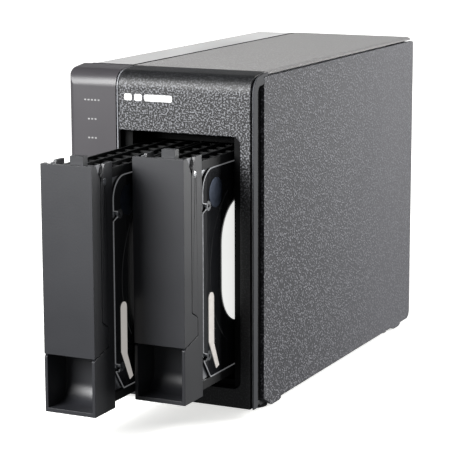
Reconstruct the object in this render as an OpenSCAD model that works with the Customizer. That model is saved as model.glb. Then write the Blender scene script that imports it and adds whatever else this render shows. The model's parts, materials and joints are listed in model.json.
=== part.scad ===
// Two-bay network attached storage with its drive trays partly drawn out.
// Millimetres, +Z up, front towards -Y, standing on Z = 0.

/* [Case] */
// Overall width across the side panels
case_w = 102; // [100:1:106]
// Overall height from the surface it stands on to the top panel
case_h = 168.5; // [167:0.5:176]
// Depth of the case from the front face to the rear edge
case_d = 219; // [217:1:230]
// Radius where the front face rolls over into the top
roll_r = 8.5; // [7:0.5:9]
// Thickness of the moulded front and top walls
wall = 2.6; // [2:0.2:3]
// Height of the rubber feet
foot_h = 2.4; // [2.2:0.1:2.8]

/* [Drive trays] */
// Width of a tray's front
tray_w = 26.8; // [26.4:0.1:27]
// Centre distance of the two trays
tray_pitch = 28.4; // [28.2:0.1:28.8]
// How far the left tray is drawn out of the case
left_out = 84; // [20:1:100]
// How far the right tray is drawn out of the case
right_out = 49; // [20:1:100]
// Depth of the tray front, from its face to the drive
face_d = 18.8; // [18:0.2:20]
// Lowest point of the tray front
tray_z0 = 16.8; // [16.6:0.1:17]
// Highest point of the tray front
tray_z1 = 133.7; // [133.5:0.1:133.8]

/* [Drives] */
// Length of a drive
drive_l = 147; // [145:1:147]
// Width of a drive, which stands on edge
drive_w = 101.6; // [101.4:0.1:101.6]
// Thickness of a drive
drive_t = 26.1; // [24:0.1:26.1]

/* [Cooling] */
// Outside size of the square fan
fan_w = 70; // [60:1:70]
// Thickness of the fan
fan_t = 15; // [10:1:15]
// Number of fan blades
blades = 7; // [5:1:9]

/* [Hidden] */
$fn = 40;

half_w = case_w / 2;
front_y = left_out - (left_out + case_d) / 2; // the case front, with the origin centred under everything
gap = 0.4;                                    // visible joint between moulded parts
touch = 0.1;                                  // clearance between parts that nearly meet

// Front: column on the left, textured bezel on the right
column_x1 = -half_w + 26.9;
trim_x = [column_x1 + gap, column_x1 + 1.1];
bezel_x0 = column_x1 + 1.5;
bezel_x1 = half_w - 1.8;
seam_y = 17;          // joint between the front mouldings and the top
crown = 1;            // rise of the front mouldings from the roll to that joint
strip_d = 5.1;        // depth of the front's smooth side edge
strip_lip = 0.8;      // width of the side edge where it meets the front face
strip_groove = 2;     // depth of the groove between that lip and the bezel
corner_r = 3.2;       // rounded left edge of the column
panel_y = 12.2;       // front edge of the side panels
panel_t = 2;
panel_z = [2.2, case_h - 2.2];
inside_x = [-half_w + panel_t + touch, half_w - panel_t - touch];
front_z0 = 3.3;
skirt_x = half_w - 2.5;   // outer face of the inner skirt behind the side edges
skirt_back = 22;

// Mouth of the drive bays
mouth_x1 = half_w - 7.2;
mouth_z = [13, case_h - 30.3];
lip_t = 1.6;
lip_y = 5;            // back edge of the mouth's lip, where the bay frame starts
liner_w = 3.6;        // width of the bay frame's liner on the mouth's right
mouth_r = 4;

// Trays: offsets are measured from a tray's own front face
tray_x0 = -16.8;
tray_mid_z = (tray_z0 + tray_z1) / 2;
tray_in_y = 1;        // where a tray's face stands when it is pushed home
side_t = 1.6;         // tray front's side wall
flange_t = 1.5;       // lever's side flange
recess_y = face_d - side_t;
recess_z = tray_z0 + 2;
cove_r = 9;           // cove between the finger recess's floor and back
pivot = [11.7, tray_z1 - 8.2];
jog_c = [11.2, 55.2];       // round corner where the flange widens
jog_r = 2.4;
pin_r = 1.5;
drive_y = face_d + 1.7;
plate_t = 1.0;        // tray plate beside the drive
drive_z0 = tray_mid_z - drive_w / 2;
drive_z1 = tray_mid_z + drive_w / 2;
rail_clear = 0.2;
rail_h = 4.4;
rail_z0 = drive_z0 - rail_clear - rail_h;
rail_z1 = drive_z1 + rail_clear + rail_h;
spindle = [drive_y + 51.5, tray_mid_z];
arm_pivot = [spindle[0] + 50, tray_mid_z + 28];

// Bay frame and cage
bay_x = [tray_x0 - 0.6, tray_x0 + tray_pitch + plate_t + drive_t + 0.4];
bay_z = [tray_z0 - 0.6, tray_z1 + 0.6];
pocket_z = tray_z1 + 7.2;   // head room for the levers' teeth
cage_x = [bay_x[0] - 0.8, bay_x[1] + 1];
cage_t = 1.2;
cage_y = [24.2, 200];

// Rear
rear_y = case_d - 2.4;      // inside face of the rear panel
rear_t = 1.2;
fan_c = [10.5, 95];
fan_y = rear_y - touch - fan_t;
board_x = -half_w + 4.4;
board_t = 1.6;
port_x = board_x + board_t;
socket_y = tray_in_y + drive_y + drive_l + 0.5;
backplane_y = socket_y + 6;

// Column
column_mid = (-half_w + column_x1) / 2 + 0.5;
power_z = 64;
copy_z = 44;
usb_z = 24;
press = 1.2;                // button travel

// ---------- shapes ----------
function arc(c, r, a0, a1, n = 6) =
    [for (i = [0:n]) let (a = a0 + (a1 - a0) * i / n) [c[0] + r * cos(a), c[1] + r * sin(a)]];

module block(x, y, z)
    translate([x[0], y[0], z[0]]) cube([x[1] - x[0], y[1] - y[0], z[1] - z[0]]);

// Profiles drawn as (y, z) and drawn out along X
module along_x(x) translate([x[0], 0, 0]) rotate([90, 0, 90]) linear_extrude(x[1] - x[0]) children();
// Profiles drawn as (x, z) and drawn out along Y
module along_y(y) translate([0, y[1], 0]) rotate([90, 0, 0]) linear_extrude(y[1] - y[0]) children();

module rod_x(x, c, r) translate([x[0], c[0], c[1]]) rotate([0, 90, 0]) cylinder(h = x[1] - x[0], r = r);
module rod_y(y, c, r) translate([c[0], y[1], c[1]]) rotate([90, 0, 0]) cylinder(h = y[1] - y[0], r = r);

// Rectangle with rounded corners, from low corner a to high corner b
module rounded(a, b, r)
    polygon(concat(
        arc([b[0] - r, b[1] - r], r, 0, 90), arc([a[0] + r, b[1] - r], r, 90, 180),
        arc([a[0] + r, a[1] + r], r, 180, 270), arc([b[0] - r, a[1] + r], r, 270, 360)));

// The wall that climbs the front, rolls over and rises gently back along the top, as (y, z)
module roll_profile(t, inset = 0) {
    back = seam_y - touch;
    r = roll_r - inset;
    centre = [roll_r, case_h - crown - roll_r];
    polygon(concat(
        [[inset, front_z0]], arc(centre, r, 180, 97, 8),
        [[back, case_h - inset], [back, case_h - inset - t]],
        arc(centre, max(r - t, 0.4), 90, 180), [[inset + t, front_z0]]));
}

// Hidden wall behind the side edge, as (y, z), cut back where the front rolls over
module skirt() {
    top = case_h - crown - wall - 0.5;
    polygon([[1, front_z0 + 1.4], [skirt_back, front_z0 + 1.4], [skirt_back, top], [8, top], [1, top - 6]]);
}

// Room for a side panel beside the front mouldings
module panel_room(x) block(x, [panel_y - touch, seam_y + 1], [0, panel_z[1] + touch]);

// The mouth's outline as (x, z), open towards the column
module mouth(grow = 0)
    polygon(concat(
        [[bezel_x0 - 2, mouth_z[0] - grow]],
        arc([mouth_x1 - mouth_r, mouth_z[0] + mouth_r], mouth_r + grow, 270, 360),
        arc([mouth_x1 - mouth_r, mouth_z[1] - mouth_r], mouth_r + grow, 0, 90),
        [[bezel_x0 - 2, mouth_z[1] + grow]]));

// Hexagonal air holes inside a circle of radius r
module air_holes(r, pitch, hole_r) {
    rows = floor(r / (pitch * sin(60)));
    for (row = [-rows:rows], col = [-rows - 1:rows + 1]) {
        x = (col + (abs(row) % 2) / 2) * pitch;
        z = row * pitch * sin(60);
        if (norm([x, z]) < r - hole_r) translate([x, z]) rotate(30) circle(r = hole_r, $fn = 6);
    }
}

// ---------- case ----------
module front_bezel() color("#2f3033") difference() {
    union() {
        along_x([bezel_x0, bezel_x1]) roll_profile(wall);
        block([bezel_x0, bezel_x1], [0, panel_y - touch], [front_z0, front_z0 + 2.2]);
        along_y([1, lip_y]) intersection() {
            difference() { mouth(lip_t); mouth(); }
            translate([bezel_x0, 0]) square([case_w, case_h]);
        }
        along_x([skirt_x - 1.6, skirt_x]) skirt();
    }
    along_y([-1, wall + 0.1]) mouth();
}

module indicator_column() color("#6f6e71") difference() {
    union() {
        along_x([-half_w, column_x1]) roll_profile(wall);
        along_x([-half_w, -half_w + 1.8]) roll_profile(strip_d);
        along_x([column_x1 - 1.4, column_x1]) roll_profile(7, 0);
        block([-half_w, column_x1], [0, panel_y - touch], [front_z0, front_z0 + 2.2]);
        along_x([-skirt_x, -skirt_x + 1.6]) skirt();
    }
    panel_room([-half_w - 1, -half_w + panel_t + touch]);
    translate([0, 0, -1]) linear_extrude(case_h + 2) polygon(concat(
        [[-half_w - 1, -1], [-half_w + corner_r, -1]],
        arc([-half_w + corner_r, corner_r], corner_r, 270, 180, 8), [[-half_w - 1, corner_r]]));
    rod_y([-1, 10], [column_mid, power_z], 5.3);
    rod_y([-1, 10], [column_mid, copy_z], 3.9);
    block([column_mid - 3.7, column_mid + 3.7], [-1, 10], [usb_z - 7.3, usb_z + 7.3]);
}

module center_trim() color("#8a8b8e") along_x(trim_x) roll_profile(5.5, 0.3);

// Smooth side edge: a narrow lip, with a groove between it and the bezel
module right_trim() color("#55565a") difference() {
    union() {
        along_x([half_w - strip_lip, half_w]) roll_profile(strip_d - 0.3, 0.2);
        along_x([bezel_x1 + gap, half_w]) roll_profile(strip_d - 0.3 - strip_groove, 0.2 + strip_groove);
    }
    panel_room([half_w - panel_t - touch, half_w + 1]);
}

// Top mouldings: the outer long edge is rolled down towards the side panel
module top_shell(inner_x, outer_x, top_z, side)
    along_y([seam_y + touch, case_d]) {
        r = 3.4;
        end_a = 32;
        edge = arc([outer_x - r, top_z - r], r, 90, end_a);
        points = concat([[inner_x, top_z]], edge,
            [[outer_x - r, top_z - r * (1 - sin(end_a))], [outer_x - r - 3, top_z - 2.1],
             [inner_x, top_z - 2.1]]);
        polygon([for (p = points) [p[0] * side, p[1]]]);
    }
module top_panel() color("#8d8c8a") top_shell(bezel_x0, half_w - 0.8, case_h, 1);
module top_strip() color("#b9b8b6") top_shell(-column_x1, half_w - 0.8, case_h - 0.4, -1);

// Side cover with foot skirts, as (y, z)
module side_panel(x) along_x(x) {
    r = 4.5;
    polygon(concat(
        arc([panel_y + 1.5, panel_z[1] - 1.5], 1.5, 180, 90, 3),
        arc([case_d - 1.5, panel_z[1] - 1.5], 1.5, 90, 0, 3),
        arc([case_d - r, panel_z[0] + r], r, 0, -90),
        [[204, panel_z[0]], [204, 1.4], [201, 0.6], [194, 0.6], [190, panel_z[0]]],
        [[33, panel_z[0]], [33, 1.2], [31, 0.6], [22, 0.6], [18, panel_z[0] + 0.6], [panel_y, 6]]));
}
module right_panel() color("#6c6c6f") side_panel([half_w - panel_t, half_w]);
module left_panel() color("#6c6c6f") side_panel([-half_w, -half_w + panel_t]);

module bottom_panel() color("#38393b") difference() {
    block(inside_x, [panel_y, rear_y - touch], [foot_h, foot_h + 2]);
    for (x = [-38, -28, -18], y = [60:24:156]) block([x - 2, x + 2], [y, y + 16], [0, 9]);
}

module rubber_feet() color("#151515")
    for (x = [-41, 41], y = [20, 186]) translate([x, y, 0]) difference() {
        cylinder(h = foot_h, r = 7.6);
        translate([0, 0, -1]) cylinder(h = 2, r = 2.5);
    }

// The rear plate with its grille and the holes for connectors and screws
module rear_panel() color("#4a4b4e") difference() {
    block(inside_x, [rear_y, rear_y + rear_t], [foot_h + 0.1, case_h - 2.6]);
    along_y([rear_y - 1, rear_y + 3]) {
        translate(fan_c) air_holes(33.5, 6, 2.7);
        for (x = [16:8:40]) rounded([x - 2, 30], [x + 2, 46], 1.9);
        translate([-28.5, 20]) square([3, 7], center = true);
    }
    for (p = fan_holes()) rod_y([rear_y - 1, rear_y + 3], p, 2.2);
    for (p = case_holes()) rod_y([rear_y - 1, rear_y + 3], p, 1.7);
    for (s = concat(lan_slots(), usb_slots(), hdmi_slots()))
        block([s[0] - touch, s[1] + touch], [rear_y - 1, rear_y + 3], [s[2] - touch, s[3] + touch]);
    block([port_x - touch, port_x + 11 + touch], [rear_y - 1, rear_y + 3], [inlet_z - 5.1, inlet_z + 5.1]);
    rod_y([rear_y - 1, rear_y + 3], [port_x + 5, 55.5], 1);
}

// ---------- drive bay ----------
module bay_frame() color("#141516") difference() {
    union() {
        block([bezel_x0 + touch, mouth_x1 + 2.4], [lip_y, cage_y[0] - 0.2],
            [mouth_z[0] - 2.5, pocket_z + 2]);
        // liners beside the trim and in the mouth's right edge
        block([bezel_x0 - 0.3, bezel_x0 + 0.3], [1, lip_y + 1], mouth_z);
        along_y([1.2, lip_y + 1]) intersection() {
            mouth(-touch);
            translate([mouth_x1 - liner_w, 0]) square([liner_w, case_h]);
        }
    }
    block(bay_x, [0, 30], bay_z);
    block(bay_x, [0, 21], [bay_z[0], pocket_z]);
}

module cage_wall(x) color("#8f9296") difference() {
    block([x, x + cage_t], cage_y, [foot_h + 2.1, case_h - 2.6]);
    for (y = [50:36:158], z = [60, 92]) rod_x([x - 1, x + 3], [y, z], 9);
}
module cage_left_wall() cage_wall(cage_x[0] - cage_t);
module cage_right_wall() cage_wall(cage_x[1]);

// Guides above and below the trays, with a fin between the two
module bay_rail(z, fin_z) color("#1b1c1d") {
    fin_x = tray_x0 + tray_pitch - 1.2;
    block(cage_x, [cage_y[0], backplane_y - 0.2], z);
    block([fin_x, fin_x + 0.8], [cage_y[0], backplane_y - 0.2], fin_z);
}
module bay_rail_top() bay_rail([rail_z1 + 0.4, rail_z1 + 3.4], [rail_z1 - 3, rail_z1 + 0.5]);
module bay_rail_bottom() bay_rail([rail_z0 - 3.4, rail_z0 - 0.4], [rail_z0 - 0.5, rail_z0 + 3]);

module backplane() color("#1f5a34") difference() {
    block([cage_x[0] + touch, cage_x[1] - touch], [backplane_y, backplane_y + board_t], [21, 130]);
    for (x = [tray_x0 + 14, tray_x0 + tray_pitch + 14], z = [80, 104])
        block([x - 8, x + 8], [backplane_y - 1, backplane_y + 3], [z, z + 16]);
}
module sata_sockets() color("#101112")
    for (i = [0, 1]) translate([tray_x0 + i * tray_pitch, 0, 0]) difference() {
        block([plate_t + 1.6, plate_t + 7], [socket_y, backplane_y], [drive_z0 + 8, drive_z0 + 50]);
        block([plate_t + 3.6, plate_t + 4.8], [socket_y - 1, socket_y + 4], [drive_z0 + 10, drive_z0 + 48]);
    }

// ---------- electronics ----------
// Connector outlines on the board's rear edge: [x0, x1, z0, z1]
inlet_z = 44;
function lan_slots() = [for (z = [100, 118]) [port_x, port_x + 13.5, z, z + 16]];
function usb_slots() = [for (z = [64, 82]) [port_x, port_x + 15.6, z, z + 14]];
function hdmi_slots() = [[port_x, port_x + 6, 138, 153]];
function fan_holes() = [for (x = [-1, 1], z = [-1, 1])
    [fan_c[0] + x * (fan_w / 2 - 4.25), fan_c[1] + z * (fan_w / 2 - 4.25)]];
function case_holes() = [[44, 157], [44, 12], [-26, 157], [-43, 12]];

module mainboard() color("#205c38") {
    block([board_x, port_x], [26, rear_y - 1.5], [10, 158]);
    for (p = [[120, 40], [120, 120], [60, 70]])
        block([port_x, port_x + 1.2], [p[0], p[0] + 14], [p[1], p[1] + 14]);
}
module heat_sink() color("#a9abad") {
    block([port_x, port_x + 3], [74, 114], [72, 112]);
    for (i = [0:7]) block([port_x + 3, port_x + 13], [74 + i * 5.5, 75.5 + i * 5.5], [72, 112]);
}
module memory_module() color("#1d4f30") {
    block([port_x, port_x + 4], [36, 44], [50, 122]);
    block([port_x + 4.1, port_x + 5.3], [37, 67], [52, 120]);
    for (z = [56:16:104]) block([port_x + 5.3, port_x + 6.4], [48, 62], [z, z + 12]);
}
module coin_cell() color("#c9cacb") rod_x([port_x + 0.5, port_x + 3.7], [150, 30], 10);

// Shielded network socket with its latch step
module lan_jacks() color("#b7b9bb") for (s = lan_slots()) difference() {
    block([s[0], s[1]], [rear_y - 20, case_d - 0.7], [s[2], s[3]]);
    block([s[0] + 2, s[0] + 10.2], [rear_y - 14, case_d], [s[2] + 2.1, s[3] - 2.1]);
    block([s[0] + 10, s[0] + 12], [rear_y - 12, case_d], [s[2] + 5, s[3] - 5]);
}

// One type A opening, long side along Z, with its tongue
module usb_cavity(x, y, z) difference() {
    block([x, x + 5.4], y, [z - 6.25, z + 6.25]);
    block([x + 0.8, x + 2.6], [y[0] - 1, y[1] - 2.4], [z - 5.2, z + 5.2]);
}
module rear_usb_ports() color("#aeb0b3") for (s = usb_slots()) difference() {
    block([s[0], s[1]], [rear_y - 16, case_d - 0.7], [s[2], s[3]]);
    for (x = [1.2, 8.8]) usb_cavity(s[0] + x, [rear_y - 9, case_d], s[2] + 7);
}
module hdmi_port() color("#aeb0b3") for (s = hdmi_slots()) difference() {
    block([s[0], s[1]], [rear_y - 10, case_d - 0.7], [s[2], s[3]]);
    along_y([rear_y - 6, case_d]) polygon([
        [s[0] + 0.6, s[2] + 0.6], [s[0] + 0.6, s[3] - 0.6], [s[0] + 3.6, s[3] - 0.6],
        [s[1] - 0.6, s[3] - 2.6], [s[1] - 0.6, s[2] + 2.6], [s[0] + 3.6, s[2] + 0.6]]);
}
// Round direct-current inlet with its centre pin
module power_inlet() color("#17181a") {
    c = [port_x + 5.5, inlet_z];
    difference() {
        block([port_x, port_x + 11], [rear_y - 12, case_d - 0.7], [inlet_z - 5, inlet_z + 5]);
        rod_y([rear_y - 9, case_d], c, 3.2);
    }
    rod_y([rear_y - 10, case_d - 3], c, 1);
}

module fan_frame() color("#17181a") {
    h = fan_w / 2;
    y = [fan_y, fan_y + fan_t];
    difference() {
        translate([fan_c[0], 0, fan_c[1]]) along_y(y) rounded([-h, -h], [h, h], 4);
        rod_y([y[0] - 1, y[1] + 1], fan_c, h - 1.6);
        for (p = fan_holes()) rod_y([y[0] - 1, y[1] + 1], p, 2.15);
    }
    rod_y([y[0], y[0] + 2.4], fan_c, 13);
    for (a = [20:120:260]) translate([fan_c[0], 0, fan_c[1]]) rotate([0, a, 0])
        block([12, h - 1.2], [y[0], y[0] + 2.2], [-1.6, 1.6]);
}
module fan_rotor() color("#222325") {
    rod_y([fan_y + 3, fan_y + fan_t - 0.8], fan_c, 12.5);
    for (i = [0:blades - 1]) translate([fan_c[0], fan_y + 8.6, fan_c[1]]) rotate([0, i * 360 / blades, 0])
        intersection() {
            rotate([38, 0, 0]) block([11.5, 34], [-0.7, 0.7], [-9, 9]);
            rod_y([-5.2, 5.4], [0, 0], fan_w / 2 - 3);
        }
}
module fan_screws() color("#303133") for (p = fan_holes()) difference() {
    union() {
        rod_y([rear_y + rear_t, rear_y + rear_t + 1.1], p, 3.2);
        rod_y([fan_y + 4, rear_y + rear_t + 0.2], p, 1.9);
    }
    cross_slot(p, rear_y + rear_t + 1.1, 3.6);
}
module case_screws() color("#303133") for (p = case_holes()) difference() {
    union() {
        rod_y([rear_y + rear_t, rear_y + rear_t + 1.1], p, 2.9);
        rod_y([rear_y - 5, rear_y + rear_t + 0.2], p, 1.5);
    }
    cross_slot(p, rear_y + rear_t + 1.1, 3.2);
}
// Cross recess in a screw head that faces +Y
module cross_slot(c, y, w) {
    block([c[0] - w / 2, c[0] + w / 2], [y - 0.7, y + 1], [c[1] - 0.4, c[1] + 0.4]);
    block([c[0] - 0.4, c[0] + 0.4], [y - 0.7, y + 1], [c[1] - w / 2, c[1] + w / 2]);
}

// ---------- column controls ----------
module button(z, r) {
    rod_y([-0.4, 4.4], [column_mid, z], r);
    rod_y([wall + 0.15, wall + 1.1], [column_mid, z], r + 1.1);
}
module power_button() color("#9c9da0") button(power_z, 5);
module copy_button() color("#9c9da0") button(copy_z, 3.6);

module front_usb_port() color("#2868b8") difference() {
    block([column_mid - 3.5, column_mid + 3.5], [0.2, 17], [usb_z - 7.1, usb_z + 7.1]);
    translate([0, 9, 0]) mirror([0, 1, 0]) usb_cavity(column_mid - 2.7, [0, 9.5], usb_z);
}

module indicator_board() color("#205c38") {
    difference() {
        block([-half_w + 6, column_x1 - 2], [8.2, 9.6], [10, 158]);
        block([column_mid - 3.9, column_mid + 3.9], [0, 30], [usb_z - 7.5, usb_z + 7.5]);
    }
    for (z = [power_z, copy_z]) block([column_mid - 3, column_mid + 3], [6, 8.2], [z - 3, z + 3]);
    for (i = [0:4])
        block([column_mid - 1.2, column_mid + 1.2], [7.4, 8.2],
            [indicator_z(i) - 0.8, indicator_z(i) + 0.8]);
}
function indicator_z(i) = 152.2 - 9.5 * i;
module light_guides() color("#e8ecef")
    for (i = [0:4])
        block([column_mid - 4, column_mid + 4], [wall + 0.05, 7.3],
            [indicator_z(i) - 1.5, indicator_z(i) + 1.5]);

// ---------- tray and drive, drawn in the left bay's place with the tray's face at y = 0 ----------
tray_x1 = tray_x0 + tray_w;
drive_x0 = tray_x0 + plate_t;
drive_x1 = drive_x0 + drive_t;

// The tray front's side wall, as (y, z): what the lever's flange leaves free
module face_side() polygon(concat(
    [[0, tray_z0], [face_d, tray_z0], [face_d, tray_z1], [11.7, tray_z1], [8, 124.8], [8, 60.2]],
    arc(jog_c, jog_r + gap, 60, 0, 4), [[jog_c[0] + jog_r + gap, 47.6], [1.3, 44.4], [0, 43.2]]));
module tray_face() color("#3c3d40") difference() {
    union() {
        for (x = [tray_x0, tray_x1 - side_t]) along_x([x, x + side_t]) face_side();
        inner = [tray_x0 + side_t, tray_x1 - side_t];
        block(inner, [face_d - side_t, face_d], [tray_z0, tray_z1 - 2.5]);
        block(inner, [0, face_d - side_t], [tray_z0, tray_z0 + 2]);
        block(inner, [8, 9.6], [60.9, 120.6]);
        block(inner, [8, face_d - side_t], [60.9, 62.5]);
        along_x(inner) polygon(concat([[recess_y, recess_z]],
            arc([recess_y - cove_r, recess_z + cove_r], cove_r, 270, 360, 8)));
        for (x = [tray_x0 + 9, tray_x0 + 17]) block([x, x + 1.2], [9.6, face_d - side_t], [62.5, 118]);
    }
    rod_x([tray_x0 - 1, tray_x1 + 1], pivot, pin_r);
}

// The lever's flange, as (y, z)
module lever_flange() polygon(concat(
    [[0, 44.6], [jog_c[0] + jog_r, 48]], arc(jog_c, jog_r, 0, 60, 4),
    [[7.6, 59.8], [7.6, 126.5], [3.8, tray_z1], [0, tray_z1]]));
module tray_lever() color("#55565a") {
    for (x = [tray_x0, tray_x1 - flange_t]) along_x([x, x + flange_t]) lever_flange();
    block([tray_x0 + flange_t, tray_x1 - flange_t], [0, 2], [44.6, tray_z1]);
    difference() {
        union() for (x = [tray_x0 + 1.9, tray_x1 - 4.1]) along_x([x, x + 2.2])
            polygon(concat([[1.8, 121.4]], [[pivot[0], pivot[1] - 3.6]],
                arc(pivot, 3.6, -90, 90, 8), [[1.8, 131]]));
        rod_x([tray_x0 - 1, tray_x1 + 1], pivot, pin_r + 0.06);
    }
    // tooth that catches the case, with a web under it
    block([tray_x0 + 13.6, tray_x0 + 20.6], [3.4, 7.4], [127, 137.6]);
    block([tray_x0 + 13.6, tray_x0 + 20.6], [1.8, 3.5], [127, 133]);
    for (z = [52:12:112]) block([tray_x0 + flange_t, tray_x1 - flange_t], [1.9, 4.6], [z, z + 1]);
}
module lever_pin() color("#d5d6d8") rod_x([tray_x0, tray_x1], pivot, pin_r);

// Plate on the drive's underside and channel rails above and below it
module tray_frame() color("#242527") difference() {
    union() {
        end_y = drive_y + drive_l - 4;
        block([tray_x0, tray_x0 + plate_t], [face_d, end_y], [rail_z0, rail_z1]);
        for (top = [0, 1]) {
            web = top ? [drive_z1 + rail_clear, drive_z1 + rail_clear + 1.6]
                      : [drive_z0 - rail_clear - 1.6, drive_z0 - rail_clear];
            ribs = top ? [drive_z1 + rail_clear, rail_z1] : [rail_z0, drive_z0 - rail_clear];
            block([tray_x0 + plate_t, tray_x1], [face_d, end_y], web);
            for (x = [tray_x0 + 8, tray_x1 - 9, tray_x1 - 1.4]) block([x, x + 1.4], [face_d, end_y], ribs);
        }
    }
    for (p = tray_holes()) rod_x([tray_x0 - 1, tray_x0 + plate_t + 0.1], p, 2.8);
    for (y = [drive_y + 10, drive_y + 96])
        block([tray_x0 - 1, tray_x0 + plate_t + 0.1], [y, y + 26], [48, 102]);
}
// Drive mounting holes: 41.3 and 85.7 mm from the connector end, 95.25 mm apart
function tray_holes() = [for (y = [41.28, 85.73], z = [-47.62, 47.62])
    [drive_y + drive_l - y, tray_mid_z + z]];
module tray_screws() color("#c2c4c6") for (p = tray_holes()) {
    rod_x([tray_x0 + 0.1, tray_x0 + 1.2], p, 2.6);
    rod_x([tray_x0 + 1.1, tray_x0 + 5.4], p, 1.5);
}

// Cast base, hollow towards the cover
module drive_base() color("#b4b6b8") difference() {
    block([drive_x0 + 1.6, drive_x1 - 1.6], [drive_y, drive_y + drive_l], [drive_z0, drive_z1]);
    block([drive_x0 + 4.6, drive_x1 + 1], [drive_y + 34, drive_y + drive_l - 8],
        [drive_z0 + 4, drive_z1 - 4]);
    rod_x([drive_x0 + 4.6, drive_x1 + 1], spindle, 48.6);
    block([drive_x0 + 1, drive_x0 + 7.2], [drive_y + drive_l - 8.2, drive_y + drive_l + 1],
        [drive_z0 + 7.8, drive_z0 + 50.2]);
    for (p = tray_holes()) rod_x([drive_x0 + 1, drive_x0 + 4.5], p, 1.7);
    for (p = cover_holes()) rod_x([drive_x1 - 5, drive_x1 + 1], p, 1.3);
}

// Pressed cover: a flat rim with a raised field that steps around the screws
module cover_field() difference() {
    rounded([drive_y + 2.8, drive_z0 + 2.6], [drive_y + drive_l - 2.8, drive_z1 - 2.6], 6);
    for (p = cover_holes()) translate(p) circle(r = 6.5);
}
module drive_cover() color("#1c1d1f") {
    along_x([drive_x1 - 1.6, drive_x1 - 0.9]) difference() {
        rounded([drive_y + 0.4, drive_z0 + 0.4], [drive_y + drive_l - 0.4, drive_z1 - 0.4], 2.5);
        for (p = cover_holes()) translate(p) circle(r = 1.3);
    }
    along_x([drive_x1 - 1, drive_x1]) cover_field();
}
function cover_holes() = [for (p = [[5, 33], [5, -40], [138, 46.4], [138, -46.4]])
    [drive_y + p[0], tray_mid_z + p[1]]];
module cover_screws() color("#d0d2d4") for (p = cover_holes()) difference() {
    union() {
        rod_x([drive_x1 - 0.9, drive_x1 - 0.1], p, 2.3);
        rod_x([drive_x1 - 4.6, drive_x1 - 0.8], p, 1.2);
    }
    translate([drive_x1 - 0.6, p[0], p[1]]) rotate([0, 90, 0]) cylinder(h = 2, r = 1, $fn = 6);
}
module drive_board() color("#17482b") {
    block([drive_x0 + 0.2, drive_x0 + 1.6], [drive_y + 70, drive_y + drive_l - 0.6],
        [drive_z0 + 8, drive_z1 - 8]);
    block([drive_x0 + 0.02, drive_x0 + 0.3], [drive_y + 84, drive_y + 100],
        [tray_mid_z - 8, tray_mid_z + 8]);
}
module drive_platters() color("#dfe1e3") {
    for (x = [10, 15]) rod_x([drive_x0 + x, drive_x0 + x + 1.3], spindle, 47.5);
    rod_x([drive_x0 + 5, drive_x0 + 19], spindle, 14);
}
// Arm stack that reaches between the platters from its pivot
module drive_actuator() color("#c7c9cb") {
    reach = 40;
    aim = atan2(spindle[1] - arm_pivot[1], spindle[0] - arm_pivot[0]) - 22;
    rod_x([drive_x0 + 5, drive_x0 + 20], arm_pivot, 6);
    for (x = [8.2, 12.8, 17.3]) along_x([drive_x0 + x, drive_x0 + x + 0.8])
        translate(arm_pivot) rotate(aim) polygon([[0, -4.5], [reach, -1], [reach, 1], [0, 4.5]]);
    along_x([drive_x0 + 11, drive_x0 + 15]) translate(arm_pivot) rotate(aim)
        polygon([[0, -3], [-15, -9], [-15, 9], [0, 3]]);
}
module drive_connector() color("#101112") difference() {
    block([drive_x0 + 1.6, drive_x0 + 7], [drive_y + drive_l - 8, drive_y + drive_l],
        [drive_z0 + 8, drive_z0 + 50]);
    block([drive_x0 + 2.6, drive_x0 + 3.2], [drive_y + drive_l - 5, drive_y + drive_l + 1],
        [drive_z0 + 10, drive_z0 + 48]);
}

// ---------- placing ----------
module in_case() translate([0, front_y, 0]) children();
module in_left() translate([0, front_y - left_out, 0]) children();
module in_right() translate([tray_pitch, front_y - right_out, 0]) children();

in_case() front_bezel();
in_case() indicator_column();
in_case() center_trim();
in_case() right_trim();
in_case() top_panel();
in_case() top_strip();
in_case() right_panel();
in_case() left_panel();
in_case() bottom_panel();
in_case() rear_panel();
in_case() rubber_feet();
in_case() bay_frame();
in_case() cage_left_wall();
in_case() cage_right_wall();
in_case() bay_rail_top();
in_case() bay_rail_bottom();
in_case() backplane();
in_case() sata_sockets();
in_case() mainboard();
in_case() heat_sink();
in_case() memory_module();
in_case() coin_cell();
in_case() lan_jacks();
in_case() rear_usb_ports();
in_case() hdmi_port();
in_case() power_inlet();
in_case() fan_frame();
in_case() fan_rotor();
in_case() fan_screws();
in_case() case_screws();
in_case() power_button();
in_case() copy_button();
in_case() front_usb_port();
in_case() indicator_board();
in_case() light_guides();
in_left() tray_face();  // tray_face_left
in_left() tray_frame();  // tray_frame_left
in_left() tray_lever();  // tray_lever_left
in_left() lever_pin();  // lever_pin_left
in_left() drive_base();  // drive_base_left
in_left() drive_cover();  // drive_cover_left
in_left() drive_board();  // drive_board_left
in_left() drive_platters();  // drive_platters_left
in_left() drive_actuator();  // drive_actuator_left
in_left() cover_screws();  // cover_screws_left
in_left() tray_screws();  // tray_screws_left
in_left() drive_connector();  // drive_connector_left
in_right() tray_face();  // tray_face_right
in_right() tray_frame();  // tray_frame_right
in_right() tray_lever();  // tray_lever_right
in_right() lever_pin();  // lever_pin_right
in_right() drive_base();  // drive_base_right
in_right() drive_cover();  // drive_cover_right
in_right() drive_board();  // drive_board_right
in_right() drive_platters();  // drive_platters_right
in_right() drive_actuator();  // drive_actuator_right
in_right() cover_screws();  // cover_screws_right
in_right() tray_screws();  // tray_screws_right
in_right() drive_connector();  // drive_connector_right
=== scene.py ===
import json
import math
import random
from functools import cache
from types import SimpleNamespace

import bmesh
import bpy
from bpy.props import FloatProperty, FloatVectorProperty, IntProperty, PointerProperty
from bpy.types import Operator, Panel, PropertyGroup
from mathutils import Matrix, Vector


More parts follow.
